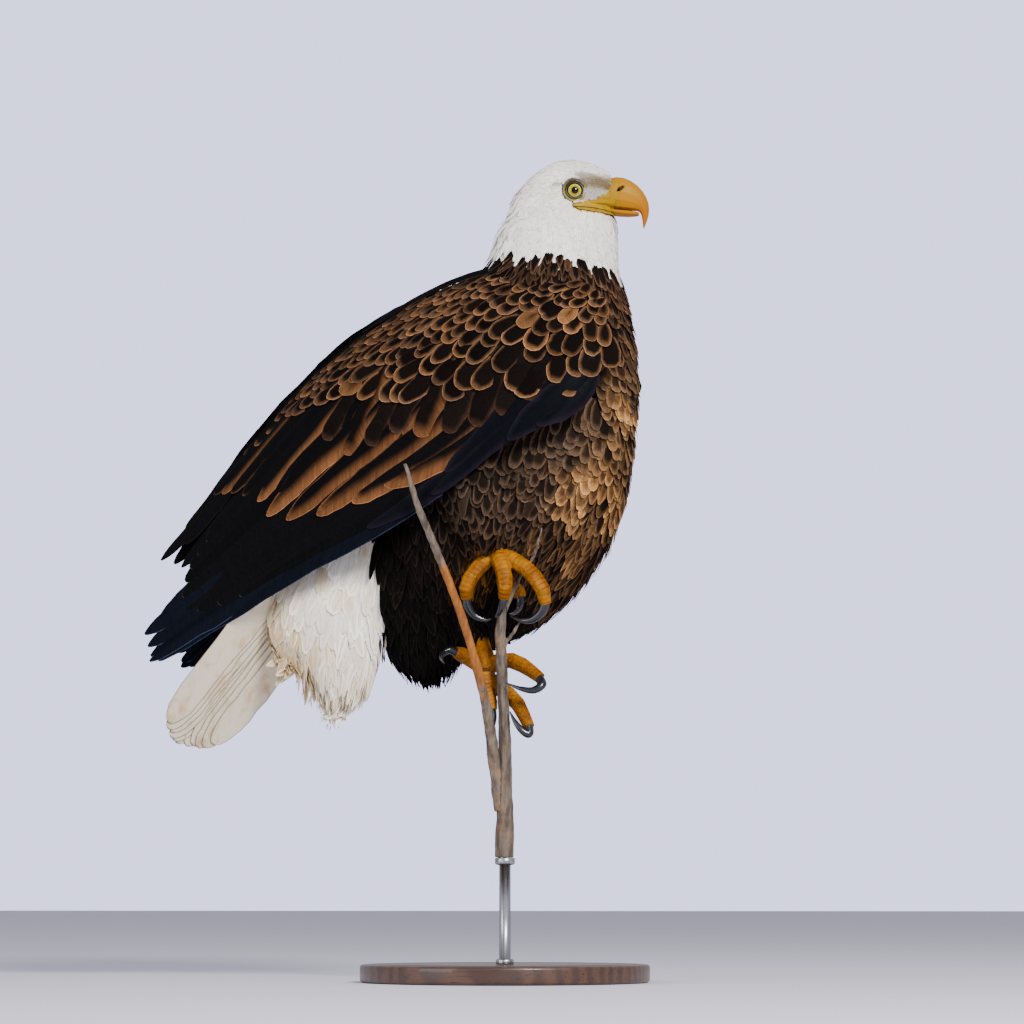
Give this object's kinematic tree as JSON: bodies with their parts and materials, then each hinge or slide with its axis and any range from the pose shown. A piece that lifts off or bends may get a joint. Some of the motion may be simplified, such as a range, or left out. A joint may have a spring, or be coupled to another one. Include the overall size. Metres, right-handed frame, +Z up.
{
  "type": "bald eagle on a display perch",
  "caption": "Life-size adult bald eagle perched upright on a short forked stem, wings folded and head turned aside, held up by a plain rod and round base.",
  "frame": {"origin": "centre of the underside of the stand's round base, on the floor", "axes": "+Z up, +X the way the bird's breast faces, +Y towards the bird's left side"},
  "size_m": [0.5354, 0.3, 0.8612],
  "materials": {
    "white_feathers": "white hackle feathers with faint grey shafts",
    "brown_feathers": "dark brown body feathers with tan and golden tips",
    "dark_feathers": "blackish brown downy leg and vent feathers",
    "covert_feathers": "dark brown wing coverts with pale tan edges",
    "flight_feathers": "blue-black flight feathers with a slight sheen",
    "tail_feathers": "cream tail feathers with ochre shafts",
    "undertail_feathers": "white undertail feathers stained with ochre",
    "bill_horn": "smooth orange-yellow horn",
    "cere_skin": "smooth waxy yellow skin",
    "foot_skin": "scaled deep yellow skin",
    "talon_horn": "glossy blue-black horn",
    "eye": "pale yellow iris with a round black pupil under a clear cornea",
    "bark": "dry weathered twig, grey to orange-brown",
    "stand_wood": "dark stained turned wood",
    "stand_steel": "plain steel rod"
  },
  "bodies": {
    "root": {"bill_lower": "bill_horn", "bill_upper": "bill_horn", "cere": "cere_skin", "eye_left": "eye", "eye_right": "eye", "head": "white_feathers", "neck": "white_feathers", "perch_side_stem": "bark", "perch_stem": "bark", "perch_twig": "bark", "shank_left": "foot_skin", "shank_right": "foot_skin", "stand_base": "stand_wood", "stand_rod": "stand_steel", "tail": "tail_feathers", "talon_left_hind": "talon_horn", "talon_left_inner": "talon_horn", "talon_left_middle": "talon_horn", "talon_left_outer": "talon_horn", "talon_right_hind": "talon_horn", "talon_right_inner": "talon_horn", "talon_right_middle": "talon_horn", "talon_right_outer": "talon_horn", "thigh_left": "dark_feathers", "thigh_right": "dark_feathers", "toe_left_hind": "foot_skin", "toe_left_inner": "foot_skin", "toe_left_middle": "foot_skin", "toe_left_outer": "foot_skin", "toe_right_hind": "foot_skin", "toe_right_inner": "foot_skin", "toe_right_middle": "foot_skin", "toe_right_outer": "foot_skin", "trunk": "brown_feathers", "undertail": "undertail_feathers", "vent": "dark_feathers", "wing_coverts_left": "covert_feathers", "wing_coverts_right": "covert_feathers", "wing_flight_left": "flight_feathers", "wing_flight_right": "flight_feathers"}
  },
  "joints": []
}
